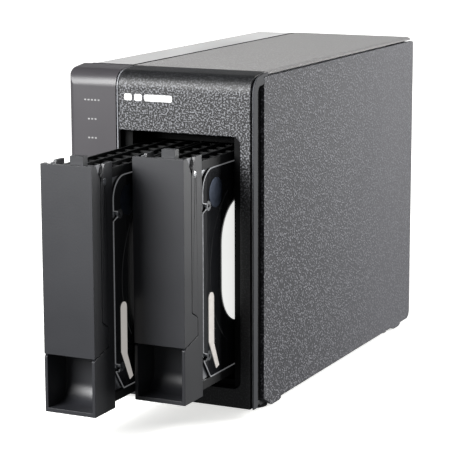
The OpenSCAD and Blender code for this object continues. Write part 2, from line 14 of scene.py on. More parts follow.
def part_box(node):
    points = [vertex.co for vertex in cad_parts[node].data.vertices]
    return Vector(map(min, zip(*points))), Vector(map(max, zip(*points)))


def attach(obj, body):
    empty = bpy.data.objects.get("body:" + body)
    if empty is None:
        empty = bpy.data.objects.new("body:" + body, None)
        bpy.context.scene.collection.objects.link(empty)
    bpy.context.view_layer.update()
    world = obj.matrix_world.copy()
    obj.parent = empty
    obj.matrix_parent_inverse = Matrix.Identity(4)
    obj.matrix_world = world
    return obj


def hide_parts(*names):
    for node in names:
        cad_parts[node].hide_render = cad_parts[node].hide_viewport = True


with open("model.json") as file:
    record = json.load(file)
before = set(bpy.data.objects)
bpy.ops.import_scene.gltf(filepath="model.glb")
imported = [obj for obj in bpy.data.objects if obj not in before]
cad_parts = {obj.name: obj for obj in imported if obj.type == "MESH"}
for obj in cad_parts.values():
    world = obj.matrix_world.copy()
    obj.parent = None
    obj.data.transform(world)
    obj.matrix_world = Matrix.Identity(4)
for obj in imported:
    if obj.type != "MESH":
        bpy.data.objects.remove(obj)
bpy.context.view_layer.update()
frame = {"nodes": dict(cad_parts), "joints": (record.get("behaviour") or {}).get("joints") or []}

bl_info = {
    "name": "Drive Tray Storage Box",
    "version": (1, 0, 0),
    "blender": (4, 5, 0),
    "location": "View3D > Sidebar > Storage Box",
    "description": "Finishes a storage box with drawn-out drive trays, and adds its small parts",
    "category": "Object",
}

MM = 0.001
SIDES = ("left", "right")
ROUGHNESS_DRIFT = 0.05  # how far a finish wanders to either side of its roughness
WELD_GAP = 0.002 * MM
EDGE_ANGLE = math.radians(30)  # edges sharper than this get a radius
SHARP_ANGLE = math.radians(35)  # edges sharper than this stay crisp where there is no radius


def linear(code):
    """An sRGB hex colour such as "#808080" as linear red, green, blue and alpha."""
    parts = [int(code[i:i + 2], 16) / 255 for i in (1, 3, 5)]
    return [c / 12.92 if c <= 0.04045 else ((c + 0.055) / 1.055) ** 2.4 for c in parts] + [1.0]


def colour_choice(name, description, code):
    """A colour that the user can change."""
    return FloatVectorProperty(name=name, description=description, default=linear(code), size=4,
                               min=0, max=1, subtype="COLOR")


def length(name, description, millimetres):
    """A length that the user can change."""
    return FloatProperty(name=name, description=description, default=millimetres * MM, min=0,
                         unit="LENGTH")


# ---------------------------------------------------------------- settings

class CaseSettings(PropertyGroup):
    column: colour_choice("Column", "Smooth moulding that carries the lights and keys", "#3f3d40")
    bezel: colour_choice("Bezel", "Base colour of the textured front", "#0b0c0e")
    # The fleck is a painted highlight on the front texture's crests
    fleck: colour_choice("Fleck", "Colour that the front's texture catches", "#75767a")
    panel: colour_choice("Panels", "Base colour of the grained side and top panels", "#3b3b3f")
    # The panel highlights are a painted highlight on the grain's crests
    panel_fleck: colour_choice("Panel highlights", "Crests of the grained panels", "#8c8c92")
    # The top strip's pale colour is a painted reflection of the sky
    strip: colour_choice("Top strip", "Smooth strip along the top", "#757473")
    print_ink: colour_choice("Print", "Pad-printed marks on the front", "#dcdcdc")
    edge: length("Edge radius", "Small radius on moulded edges", 0.35)
    bezel_grit: length("Bezel grit", "Spacing of the front's texture", 0.9)
    panel_grit: length("Panel grain", "Spacing of the panels' leather grain", 1.2)


class TraySettings(PropertyGroup):
    plastic: colour_choice("Trays", "Moulded tray fronts and levers", "#202125")
    rails: colour_choice("Rails", "Moulded tray frames, rails and bay", "#0f1011")
    webs: IntProperty(name="Webs", description="Cross webs on each rail", default=16, min=4, max=40)


class DriveSettings(PropertyGroup):
    lid: colour_choice("Lid", "Coated steel lid of a drive", "#1b1c1f")
    label: colour_choice("Label", "Blank label on a drive's lid", "#f2f2f0")
    label_corner: length("Label corner", "Radius of the label's front corners", 20)
    label_start: length("Label start", "From the drive's front edge to the label", 18.6)


class FanSettings(PropertyGroup):
    blades: IntProperty(name="Blades", description="Blades on the fan's rotor", default=7,
                        min=3, max=11)
    sweep: FloatProperty(name="Sweep", description="How far a blade's tip trails its root",
                         default=math.radians(24), unit="ROTATION")


class StudioSettings(PropertyGroup):
    camera_place: FloatVectorProperty(name="Camera", description="Where the camera stands",
                                      default=(0.4255, -0.8724, 0.2668),
                                      subtype="XYZ", unit="LENGTH")
    camera_yaw: FloatProperty(name="Yaw", description="Camera's turn about the vertical",
                              default=0.451, unit="ROTATION")
    camera_pitch: FloatProperty(name="Pitch", description="Camera's tilt from the horizontal",
                                default=-0.190, unit="ROTATION")
    camera_roll: FloatProperty(name="Roll", description="Camera's roll",
                               default=-0.003, unit="ROTATION")
    lens: FloatProperty(name="Lens", description="Focal length", default=150, min=10, unit="CAMERA")
    floor: colour_choice("Floor", "Pale studio floor", "#f4f4f2")


# ---------------------------------------------------------------- materials

def node(tree, kind, settings=None, links=None, to=()):
    """Adds a node, sets its properties and inputs, feeds its inputs, and passes its result on."""
    made = tree.nodes.new(kind)
    for key, value in (settings or {}).items():
        if isinstance(key, int) or key in made.inputs:
            made.inputs[key].default_value = value
        else:
            setattr(made, key, value)
    for key, source in (links or {}).items():
        tree.links.new(source, made.inputs[key])
    result = next(s for s in made.outputs if s.enabled)
    for socket in to:
        tree.links.new(result, socket)
    return result


def per_metre(millimetres):
    """A texture scale that gives features of this size."""
    return 1 / (millimetres * MM)


def begin(name, light, dark, patch_mm, roughness, **inputs):
    """A material that drifts between two colours, and a little in roughness, over patches."""
    mat = bpy.data.materials.new(name)
    mat.use_nodes = True
    tree = mat.node_tree
    shader = tree.nodes["Principled BSDF"]
    for key, value in inputs.items():
        shader.inputs[key.replace("_", " ")].default_value = value
    place = node(tree, "ShaderNodeTexCoord").node.outputs["Object"]
    patches = node(tree, "ShaderNodeTexNoise", {"Scale": per_metre(patch_mm), "Detail": 3.0},
                   {"Vector": place})
    tint = node(tree, "ShaderNodeMix", {"data_type": "RGBA", 6: dark, 7: light}, {0: patches},
                to=[shader.inputs["Base Color"]])
    node(tree, "ShaderNodeMapRange",
         {"To Min": roughness - ROUGHNESS_DRIFT, "To Max": roughness + ROUGHNESS_DRIFT},
         {"Value": patches}, to=[shader.inputs["Roughness"]])
    return SimpleNamespace(mat=mat, tree=tree, shader=shader, place=place, tint=tint)


def roughen(m, size_mm, strength, depth_mm, detail=2.0, place=None):
    """Raises fine noise with features of size_mm on a surface, up to depth_mm high."""
    grain = node(m.tree, "ShaderNodeTexNoise", {"Scale": per_metre(size_mm), "Detail": detail},
                 {"Vector": place or m.place})
    node(m.tree, "ShaderNodeBump", {"Strength": strength, "Distance": depth_mm * MM},
         {"Height": grain}, to=[m.shader.inputs["Normal"]])
    return m.mat


def toned(colour, factor):
    """A colour made lighter or darker."""
    return [c * factor for c in colour[:3]] + [1.0]


def blended(colour, other, amount):
    """A colour part of the way to another."""
    return [a + (b - a) * amount for a, b in zip(colour, other)]


def settings():
    """The sizes and colours that the user can change."""
    return bpy.context.scene.storage_box


@cache
def satin_abs():
    """ABS moulded in a polished tool: even and satin, with a faint flow ripple."""
    base = settings().case.column
    m = begin("satin_abs", toned(base, 1.06), toned(base, 0.94), 30, 0.38)
    return roughen(m, 9, 0.3, 0.03)


@cache
def strip_abs():
    """The same ABS in a smooth strip, painted paler as a painted reflection of the sky that it mirrors
    at a low angle.
    """
    base = settings().case.strip
    m = begin("strip_abs", toned(base, 1.03), toned(base, 0.97), 40, 0.3)
    return roughen(m, 14, 0.2, 0.02)


@cache
def sparked_abs():
    """ABS from a spark-eroded tool: a hard sandy texture whose crests are painted pale, a painted
    highlight where they catch the light. The real grit is about 0.3 mm and is drawn coarser so that it
    shows.
    The painted highlight is brightest just below the top roll and fades out over the roll and down the
    lower half, as painted shade; the bump fades with it."""
    case = settings().case
    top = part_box("front_bezel")[1].z
    m = begin("sparked_abs", case.bezel, toned(case.bezel, 0.8), 25, 0.5)
    grit = node(m.tree, "ShaderNodeTexNoise",
                {"Scale": 1 / case.bezel_grit, "Detail": 2.0, "Roughness": 0.6},
                {"Vector": m.place})
    crest = node(m.tree, "ShaderNodeMapRange", {"From Min": 0.51, "From Max": 0.58},
                 {"Value": grit})
    height = node(m.tree, "ShaderNodeSeparateXYZ", links={"Vector": m.place}).node.outputs["Z"]
    # Painted shade: below 130 mm the crests' pale colour fades, so the lower front is darker
    painted_low_shade = node(m.tree, "ShaderNodeMapRange",
                {"From Min": 95 * MM, "From Max": 130 * MM, "To Min": 0.1}, {"Value": height})
    # Painted shade: over the top roll the crests' pale colour and bump fade out, so the roll is darker
    flat = node(m.tree, "ShaderNodeMapRange",
                {"From Min": top - 9 * MM, "From Max": top - 4 * MM, "To Min": 1.0, "To Max": 0.12},
                {"Value": height})
    painted_light_fade = node(m.tree, "ShaderNodeMath", {"operation": "MULTIPLY"}, {0: painted_low_shade, 1: flat})
    fleck = node(m.tree, "ShaderNodeMath", {"operation": "MULTIPLY"}, {0: crest, 1: painted_light_fade})
    node(m.tree, "ShaderNodeMix", {"data_type": "RGBA", 7: case.fleck}, {0: fleck, 6: m.tint},
         to=[m.shader.inputs["Base Color"]])
    node(m.tree, "ShaderNodeBump", {"Distance": 0.25 * MM}, {"Height": grit, "Strength": painted_light_fade},
         to=[m.shader.inputs["Normal"]])
    return m.mat


@cache
def leather_powder_coat(painted_top_light=0.0):
    """Steel with a baked leather-grain powder coat: rounded pebbles, with pale crests and darker
    valleys painted as highlight and shade, drawn coarser than the real 0.6 mm so that they show; their
    painted highlight and shade fade towards the rear, where the lamps' sheen washes them out. The top
    panel's copy is blended paler as painted light, for the top faces the lamps."""
    case = settings().case
    # Painted light: the pale grey that the top panel's copy is blended towards, as the top faces the
    # lamps
    film = linear("#c6c4c1")
    base = blended(case.panel, film, painted_top_light)
    peak = blended(case.panel_fleck, film, painted_top_light)
    m = begin("leather_powder_coat", base, toned(base, 0.86), 35, 0.58, Specular_IOR_Level=0.35)
    # Broad noise bends the cells, so that no two pebbles are alike
    wander = node(m.tree, "ShaderNodeTexNoise", {"Scale": 0.6 / case.panel_grit, "Detail": 2.0},
                  {"Vector": m.place})
    bent = node(m.tree, "ShaderNodeVectorMath", {"operation": "MULTIPLY_ADD", 1: (1.2 * MM,) * 3},
                {0: wander.node.outputs["Color"], 2: m.place})
    pebbles = node(m.tree, "ShaderNodeTexVoronoi",
                   {"feature": "SMOOTH_F1", "Scale": 1 / case.panel_grit, "Smoothness": 0.5},
                   {"Vector": bent})
    crest = node(m.tree, "ShaderNodeMapRange", {"From Min": 0.5, "From Max": 0.16},
                 {"Value": pebbles})
    # Painted light: the grain's colour and bump fade towards the rear, standing in for the sheen there
    depth = node(m.tree, "ShaderNodeSeparateXYZ", links={"Vector": m.place}).node.outputs["Y"]
    painted_light_fade = node(m.tree, "ShaderNodeMapRange",
                {"From Min": -20 * MM, "From Max": 110 * MM, "To Min": 0.95, "To Max": 0.35},
                {"Value": depth})
    # Where the grain fades, its colour settles at its average
    even = node(m.tree, "ShaderNodeMix", {"data_type": "FLOAT", 2: 0.35}, {0: painted_light_fade, 3: crest})
    node(m.tree, "ShaderNodeMix", {"data_type": "RGBA", 7: peak}, {0: even, 6: m.tint},
         to=[m.shader.inputs["Base Color"]])
    node(m.tree, "ShaderNodeBump", {"Distance": 0.22 * MM}, {"Height": crest, "Strength": painted_light_fade},
         to=[m.shader.inputs["Normal"]])
    return m.mat


@cache
def matte_tray_abs():
    """ABS from a lightly etched tool: dry and even, with a touch of sheen on its edges."""
    base = settings().trays.plastic
    m = begin("matte_tray_abs", toned(base, 1.08), toned(base, 0.9), 28, 0.44,
              Specular_IOR_Level=0.65)
    return roughen(m, 0.7, 0.5, 0.06)


@cache
def painted_wedge_glint():
    """The tray's ABS where a tool insert left it polished: painted pale, a painted glint of the room
    that it mirrors.
    """
    return begin("painted_wedge_glint", linear("#b2b3b6"), linear("#a0a1a4"), 4, 0.25).mat


@cache
def black_nylon(shade=1.0):
    """Glass-filled nylon: near black, dull, with a streaky skin where the fibres lie."""
    # A shade below 1 makes a darker, less glossy copy: painted shade for parts in the bay's shadow
    base = toned(settings().trays.rails, shade)
    m = begin("black_nylon", toned(base, 1.25), toned(base, 0.8), 14, 0.6,
              Specular_IOR_Level=0.3 * shade)
    streaked = node(m.tree, "ShaderNodeVectorMath", {"operation": "MULTIPLY", 1: (1, 0.15, 1)},
                    {0: m.place})
    return roughen(m, 0.8, 0.35, 0.05, detail=3.0, place=streaked)


@cache
def gloss_trim_abs():
    """Narrow ridge from a polished tool: glossier than the mouldings beside it, and painted paler as a
    painted highlight along the ridge.
    """
    m = begin("gloss_trim_abs", linear("#929397"), linear("#808185"), 20, 0.25)
    return roughen(m, 5, 0.2, 0.02)


@cache
def matte_trim_abs():
    """The lip beside the right panel: the same ABS from an etched tool, so it stays dull at a
    low angle."""
    m = begin("matte_trim_abs", linear("#4a4b4e"), linear("#3f4043"), 18, 0.62,
              Specular_IOR_Level=0.2)
    return roughen(m, 0.6, 0.3, 0.04)


@cache
def satin_powder_coat():
    """Steel with a fine satin powder coat: dark, with a slight orange peel."""
    m = begin("satin_powder_coat", linear("#3d3e41"), linear("#333437"), 30, 0.4)
    return roughen(m, 1.2, 0.4, 0.08, detail=1.0)


@cache
def zinc_steel():
    """Zinc-plated sheet: pale grey, with crystals that catch the light one by one."""
    m = begin("zinc_steel", linear("#c9cccf"), linear("#a3a7ab"), 8, 0.34, Metallic=1.0)
    spangle = node(m.tree, "ShaderNodeTexVoronoi", {"Scale": per_metre(4)}, {"Vector": m.place})
    node(m.tree, "ShaderNodeBump", {"Strength": 0.15, "Distance": 0.03 * MM}, {"Height": spangle},
         to=[m.shader.inputs["Normal"]])
    return m.mat


@cache
def nickel_steel():
    """Nickel-plated screw steel, turned and tumbled: bright with a soft grain."""
    m = begin("nickel_steel", linear("#e2e3e5"), linear("#bfc1c4"), 1.5, 0.22, Metallic=1.0)
    return roughen(m, 0.4, 0.2, 0.02)


@cache
def black_oxide_steel():
    """Blackened screw steel: dark grey metal with a worn, slightly oily look."""
    m = begin("black_oxide_steel", linear("#55565a"), linear("#333437"), 2, 0.36, Metallic=1.0)
    return roughen(m, 0.5, 0.2, 0.02)


@cache
def cast_aluminium():
    """Die-cast aluminium with machined edges: soft silver, faintly pitted."""
    m = begin("cast_aluminium", linear("#dcdee0"), linear("#b3b6ba"), 6, 0.33, Metallic=1.0)
    return roughen(m, 0.9, 0.35, 0.06, detail=4.0)


@cache
def coated_lid_steel():
    """Pressed steel with a black electrophoretic coat: glossy, so it mirrors what stands near it
    in upright streaks."""
    base = settings().drives.lid
    m = begin("coated_lid_steel", toned(base, 1.3), toned(base, 0.8), 12, 0.14, Coat_Weight=0.5)
    drawn = node(m.tree, "ShaderNodeVectorMath", {"operation": "MULTIPLY", 1: (1, 1, 0.22)},
                 {0: m.place})
    return roughen(m, 3.5, 0.5, 0.25, place=drawn)


@cache
def label_film():
    """White polyester label stock with faint pale bars where data would be printed.
    It glows a little as painted light, so it stays white in the bay's shade."""
    label = settings().drives.label
    m = begin("label_film", label, toned(label, 0.96), 20, 0.38,
              Emission_Color=label, Emission_Strength=0.85)
    # The wave node multiplies its place by 20, so this is a bar every 2 pi x 9 mm
    bars = node(m.tree, "ShaderNodeTexWave", {"bands_direction": "Z", "Scale": per_metre(9) / 20},
                {"Vector": m.place})
    faint = node(m.tree, "ShaderNodeMapRange", {"From Min": 0.86, "From Max": 0.9, "To Max": 0.22},
                 {"Value": bars})
    node(m.tree, "ShaderNodeMix", {"data_type": "RGBA", 7: linear("#8f959c")},
         {0: faint, 6: m.tint}, to=[m.shader.inputs["Base Color"]])
    return m.mat


@cache
def damping_film():
    """Pale damping film stuck to the lid: a warm white that glows as painted light, so it stays light
    in the bay's shade.
    """
    return begin("damping_film", linear("#e6e1dc"), linear("#c2bdb8"), 3, 0.3,
                 Emission_Color=linear("#ded9d4"), Emission_Strength=0.42).mat


@cache
def painted_edge_highlight():
    """The lid's pressed edge: a pale, faintly glowing band painted as the highlight that the edge
    catches.
    """
    return begin("painted_edge_highlight", linear("#d8d9dc"), linear("#77797d"), 2.2, 0.35, Metallic=0.4,
                 Emission_Color=linear("#d8d9dc"), Emission_Strength=0.12).mat


@cache
def foil_seal():
    """Bluish tamper seal foil: dark, mirror-like and slightly wrinkled."""
    m = begin("foil_seal", linear("#465062"), linear("#2a303c"), 2.2, 0.34, Metallic=0.8)
    return roughen(m, 2.5, 0.5, 0.08, detail=3.0)


@cache
def polished_platter():
    """Sputtered platter: a near-perfect mirror with the faintest haze."""
    return begin("polished_platter", linear("#e6e7e9"), linear("#dcdee0"), 30, 0.08,
                 Metallic=1.0).mat


@cache
def solder_mask():
    """Green solder mask over copper: glossy, with raised tracks a shade lighter."""
    m = begin("solder_mask", linear("#1f6a3c"), linear("#185432"), 12, 0.28)
    # A row is a quarter of the texture's unit, so the tracks lie 3 mm apart
    tracks = node(m.tree, "ShaderNodeTexBrick",
                  {"Scale": per_metre(3) / 4, "Mortar Size": 0.06, "Color1": (0, 0, 0, 1),
                   "Color2": (0, 0, 0, 1), "Mortar": (1, 1, 1, 1)}, {"Vector": m.place})
    node(m.tree, "ShaderNodeMix", {"data_type": "RGBA", 7: linear("#3d9460")},
         {0: tracks, 6: m.tint}, to=[m.shader.inputs["Base Color"]])
    node(m.tree, "ShaderNodeBump", {"Strength": 0.3, "Distance": 0.05 * MM}, {"Height": tracks},
         to=[m.shader.inputs["Normal"]])
    return m.mat


@cache
def chip_epoxy():
    """Black moulding epoxy: matt, finely sanded."""
    m = begin("chip_epoxy", linear("#2b2c2e"), linear("#1f2022"), 4, 0.5)
    return roughen(m, 0.4, 0.3, 0.03)


@cache
def gold_plate():
    """Gold over nickel on spring contacts: warm and bright."""
    return begin("gold_plate", linear("#e5c069"), linear("#cfa54a"), 1, 0.2, Metallic=1.0).mat


@cache
def blue_abs():
    """Blue ABS inside a fast serial socket: glossy and even."""
    return begin("blue_abs", linear("#2a6bd0"), linear("#215cb8"), 5, 0.28).mat


@cache
def opal_polycarbonate():
    """Opal polycarbonate light guides: milky and slightly see-through."""
    return begin("opal_polycarbonate", linear("#f0f2f4"), linear("#dfe4e8"), 6, 0.3, IOR=1.58,
                 Transmission_Weight=0.3).mat


@cache
def moulded_rubber():
    """Black moulded rubber: soft, dusty and dull, with no clear highlight."""
    m = begin("moulded_rubber", linear("#252526"), linear("#181819"), 5, 0.78)
    return roughen(m, 0.6, 0.5, 0.08, detail=4.0)


@cache
def painted_seam_shade():
    """Painted shade: a black cord with no sheen at all, laid in the top seams where their shadow
    falls.
    """
    m = begin("painted_seam_shade", linear("#101011"), linear("#0a0a0b"), 3, 0.9, Specular_IOR_Level=0.0)
    return roughen(m, 0.5, 0.4, 0.05)


@cache
def print_ink(cover=1.0):
    """Pad-printed ink: a thin, dry film that lets some of the dark moulding through."""
    ink = toned(settings().case.print_ink, cover)
    return begin("print_ink", ink, toned(ink, 0.85), 1.2, 0.55).mat


@cache
def floor_paint():
    """Matt white studio paint with the faintest roller texture, lit a little from within like a
    light table."""
    floor = settings().studio.floor
    return begin("floor_paint", floor, toned(floor, 0.985), 400, 0.8,
                 Emission_Color=floor, Emission_Strength=0.75).mat


# ---------------------------------------------------------------- mesh helpers

def rounded(low, high, radius, steps=6):
    """Outline of a rectangle with rounded corners."""
    centres = [(high[0] - radius, high[1] - radius), (low[0] + radius, high[1] - radius),
               (low[0] + radius, low[1] + radius), (high[0] - radius, low[1] + radius)]
    return [(c[0] + radius * math.cos(a), c[1] + radius * math.sin(a))
            for quarter, c in enumerate(centres)
            for a in (math.pi / 2 * (quarter + i / steps) for i in range(steps + 1))]


def arc(centre, radius, start, end, steps=12):
    """Points along an arc; the angles are in degrees."""
    return [(centre[0] + radius * math.cos(a), centre[1] + radius * math.sin(a))
            for a in (math.radians(start + (end - start) * i / steps) for i in range(steps + 1))]


def along(axis, u, v, depth):
    """The point at depth along an axis, with u and v on the other two in X, Y, Z order."""
    return {"x": (depth, u, v), "y": (u, depth, v), "z": (u, v, depth)}[axis]


def extrude(bm, outline, axis, low, high):
    """Adds a solid with this outline, from low to high along an axis."""
    rings = [[bm.verts.new(along(axis, u, v, depth)) for u, v in outline] for depth in (low, high)]
    bm.faces.new(rings[0])
    bm.faces.new(rings[1])
    for i in range(len(outline)):
        j = (i + 1) % len(outline)
        bm.faces.new((rings[0][i], rings[0][j], rings[1][j], rings[1][i]))


def band(bm, outer, inner, axis, low, high):
    """Adds a closed strip between two outlines that have as many points as each other."""
    rings = [[bm.verts.new(along(axis, u, v, depth)) for u, v in outline]
             for outline, depth in ((outer, low), (outer, high), (inner, high), (inner, low))]
    for here, there in zip(rings, rings[1:] + rings[:1]):
        for i in range(len(outer)):
            bm.faces.new((here[i - 1], here[i], there[i], there[i - 1]))


def block(bm, low, high):
    """Adds a box between two corners."""
    extrude(bm, [(low[0], low[1]), (high[0], low[1]), (high[0], high[1]), (low[0], high[1])],
            "z", low[2], high[2])


def turn(bm, profile, axis, centre, steps):
    """Adds a solid of revolution from (radius, depth) points; its ends are closed."""
    angles = [2 * math.pi * i / steps for i in range(steps)]
    rings = [[bm.verts.new(along(axis, centre[0] + radius * math.cos(a),
                                 centre[1] + radius * math.sin(a), depth)) for a in angles]
             for radius, depth in profile]
    for lower, upper in zip(rings, rings[1:]):
        for i in range(steps):
            j = (i + 1) % steps
            bm.faces.new((lower[i], lower[j], upper[j], upper[i]))
    bm.faces.new(rings[0])
    bm.faces.new(rings[-1])


def soften(obj, width):
    """Rounds an object's edges a little and keeps its flats flat."""
    obj.modifiers.new("Weld", "WELD").merge_threshold = WELD_GAP
    edge = obj.modifiers.new("Edge", "BEVEL")
    edge.width = width
    edge.segments = 2
    edge.limit_method = "ANGLE"
    edge.angle_limit = EDGE_ANGLE
    edge.miter_outer = "MITER_ARC"
    for face in obj.data.polygons:
        face.use_smooth = True
    obj.modifiers.new("Normals", "WEIGHTED_NORMAL").keep_sharp = True


def piece(name, bm, material, body, replaces=(), edge_mm=0):
    """Makes an object of a mesh under construction, and puts it on its body."""
    bmesh.ops.recalc_face_normals(bm, faces=bm.faces[:])
    mesh = bpy.data.meshes.new(name)
    bm.to_mesh(mesh)
    bm.free()
    obj = bpy.data.objects.new(name, mesh)
    bpy.context.scene.collection.objects.link(obj)
    mesh.materials.append(material)
    if edge_mm:
        soften(obj, edge_mm * MM)
    else:
        mesh.polygons.foreach_set("use_smooth", [True] * len(mesh.polygons))
        mesh.set_sharp_from_angle(angle=SHARP_ANGLE)
    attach(obj, body)
    if replaces:
        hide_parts(*replaces)


def dress(material, edge_mm, *names):
    """Gives CAD nodes their finish and a small edge radius."""
    for name in names:
        obj = frame["nodes"][name]
        obj.data.materials.clear()
        obj.data.materials.append(material)
        if edge_mm:
            soften(obj, edge_mm * MM)


# ---------------------------------------------------------------- case

class STORAGE_OT_case_shell(Operator):
    """Finish the case's mouldings, panels and feet, and lay black cords in the seams as painted shade
    """
    bl_idname = "storage.case_shell"
    bl_label = "Case shell"

    def execute(self, context):
        edge = settings().case.edge / MM
        dress(satin_abs(), edge, "indicator_column")
        dress(sparked_abs(), edge, "front_bezel")
        dress(strip_abs(), edge, "top_strip")
        dress(leather_powder_coat(), edge, "right_panel", "left_panel")
        # The top panel takes a paler copy of the coat, painted light on its upward face
        dress(leather_powder_coat(0.46), edge, "top_panel")
        dress(gloss_trim_abs(), 0.2, "center_trim")
        dress(matte_trim_abs(), 0.2, "right_trim")
        dress(satin_powder_coat(), 0, "bottom_panel", "rear_panel")
        dress(moulded_rubber(), 0.5, "rubber_feet")

        # An upright black cord behind each side's front edge: painted shade in the groove beside the
        # trim
        low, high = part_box("right_trim")
        foot, head, thick = low.z + 1 * MM, high.z - 4.6 * MM, 0.25 * MM
        bm = bmesh.new()
        for x in (low.x - 1.05 * MM, -low.x + 0.8 * MM):
            extrude(bm, rounded((x, foot), (x + thick, head), 0.1 * MM, 2),
                    "y", low.y + 5 * MM, low.y + 14 * MM)
        piece("side_groove_shades", bm, moulded_rubber(), "case")

        # Black cord along the strip's inner edge, and across its front end: painted shade in the seams
        (strip_low, strip_high), (panel_low, panel_high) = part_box("top_strip"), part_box("top_panel")
        seam = strip_high.x - 0.7 * MM
        bm = bmesh.new()
        extrude(bm, rounded((seam, panel_high.z - 1.6 * MM),
                            (panel_low.x + 0.02 * MM, panel_high.z), 0.3 * MM, 2),
                "y", panel_low.y + 1 * MM, panel_high.y - 2 * MM)
        extrude(bm, rounded((strip_low.x + 2 * MM, strip_high.z - 0.4 * MM),
                            (seam, strip_high.z + 0.33 * MM), 0.2 * MM, 2),
                "y", strip_low.y + 0.1 * MM, strip_low.y + 2.8 * MM)
        piece("top_seam_shades", bm, painted_seam_shade(), "case")
        return {"FINISHED"}


class STORAGE_OT_front_marks(Operator):
    """Print plain marks on the column and the bezel"""
    bl_idname = "storage.front_marks"
    bl_label = "Front marks"

    def execute(self, context):
        low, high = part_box("indicator_column")
        film = (low.y - 0.03 * MM, low.y)

        # Three rows of dashes near the column's top
        centre = (low.x + high.x) / 2
        first_row, row_pitch, dash_pitch = 16.3, 9.5, 1.9
        half_wide, half_tall = 0.55 * MM, 0.4 * MM
        bm = bmesh.new()
        for row, dashes in enumerate((5, 3, 3)):
            z = high.z - (first_row + row_pitch * row) * MM
            for i in range(dashes):
                x = centre + (i - (dashes - 1) / 2) * dash_pitch * MM
                extrude(bm, rounded((x - half_wide, z - half_tall), (x + half_wide, z + half_tall),
                                    0.2 * MM, 3), "y", *film)
        piece("column_marks", bm, print_ink(0.42), "case")

        # Two short bars and a long one near the bezel's corner
        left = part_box("front_bezel")[0].x + 3.4 * MM
        z, half_tall = high.z - 13.8 * MM, 1.7 * MM
        bm = bmesh.new()
        for start, width in ((0, 4.2), (5.6, 4.2), (11.2, 15.2)):
            extrude(bm, rounded((left + start * MM, z - half_tall),
                                (left + (start + width) * MM, z + half_tall), 0.8 * MM), "y", *film)
        piece("bezel_mark", bm, print_ink(), "case")
        return {"FINISHED"}


class STORAGE_OT_front_controls(Operator):
    """Shape the two keys, and finish the front socket, light guides and board"""
    bl_idname = "storage.front_controls"
    bl_label = "Front controls"

    def execute(self, context):
        for name in ("power", "copy"):
            low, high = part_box(name + "_button")
            front, back = low.y, high.y
            skirt = (high.x - low.x) / 2
            cap = skirt - 1.1 * MM
            # A dished cap with a rounded edge, the skirt that holds it in, and its stem
            profile = [(0.2 * MM, front + 0.25 * MM), (cap * 0.5, front + 0.15 * MM),
                       (cap - 0.9 * MM, front), (cap - 0.2 * MM, front + 0.12 * MM),
                       (cap, front + 0.6 * MM), (cap, front + 3.15 * MM),
                       (skirt, front + 3.2 * MM), (skirt, front + 4.1 * MM),
                       (cap, front + 4.1 * MM), (cap, back)]
            bm = bmesh.new()
            turn(bm, profile, "y", ((low.x + high.x) / 2, (low.z + high.z) / 2), steps=48)
            piece(name + "_key", bm, satin_abs(), name + "_key",
                  (name + "_button",))
        dress(blue_abs(), 0.1, "front_usb_port")
        dress(solder_mask(), 0, "indicator_board")
        dress(opal_polycarbonate(), 0.2, "light_guides")
        return {"FINISHED"}


# ---------------------------------------------------------------- trays

class STORAGE_OT_drive_bay(Operator):
    """Finish the bay, its rails, walls and sockets"""
    bl_idname = "storage.drive_bay"
    bl_label = "Drive bay"

    def execute(self, context):
        # The bay's nylon is a darker copy, painted shade for the shadow inside the mouth
        dress(black_nylon(0.4), 0.3, "bay_frame", "bay_rail_top", "bay_rail_bottom", "sata_sockets")
        dress(zinc_steel(), 0, "cage_left_wall", "cage_right_wall")
        dress(solder_mask(), 0, "backplane")
        return {"FINISHED"}


class STORAGE_OT_drive_trays(Operator):
    """Finish the tray fronts, levers and frames, set the latch wedges' painted glints and web the
    rails
    """
    bl_idname = "storage.drive_trays"
    bl_label = "Drive trays"

    def execute(self, context):
        webs = settings().trays.webs
        for side in SIDES:
            body = side + "_tray"
            dress(matte_tray_abs(), 0.2, "tray_face_" + side)
            dress(matte_tray_abs(), 0.3, "tray_lever_" + side)
            dress(black_nylon(), 0.2, "tray_frame_" + side)
            dress(nickel_steel(), 0.2, "lever_pin_" + side)

            # Pale plates inside the lever's flanges, which swing past them as the lever opens: a
            # painted glint on the latch corners
            low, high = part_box("tray_lever_" + side)
            wedge = [(low.y + 6.2 * MM, high.z - 4.2 * MM), (low.y + 10.6 * MM, high.z - 4.2 * MM),
                     (low.y + 8.6 * MM, high.z - 8.4 * MM)]
            bm = bmesh.new()
            for x in (low.x + 1.56 * MM, high.x - 1.86 * MM):
                extrude(bm, wedge, "x", x, x + 0.3 * MM)
            piece("latch_wedge_glints_" + side, bm, painted_wedge_glint(), body)

            # Cross webs between the ribs of the lower and upper channel rails
            low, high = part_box("tray_frame_" + side)
            inner, outer, half_web = 1.0 * MM, 2.9 * MM, 0.5 * MM
            levels = ((low.z + inner, low.z + outer), (high.z - outer, high.z - inner))
            bm = bmesh.new()
            for i in range(webs):
                y = low.y + (high.y - low.y) * (i + 0.5) / webs
                for foot, head in levels:
                    block(bm, (low.x + 0.8 * MM, y - half_web, foot),
                          (high.x - 0.4 * MM, y + half_web, head))
            piece("rail_webs_" + side, bm, black_nylon(), body)
        return {"FINISHED"}


# ---------------------------------------------------------------- drives

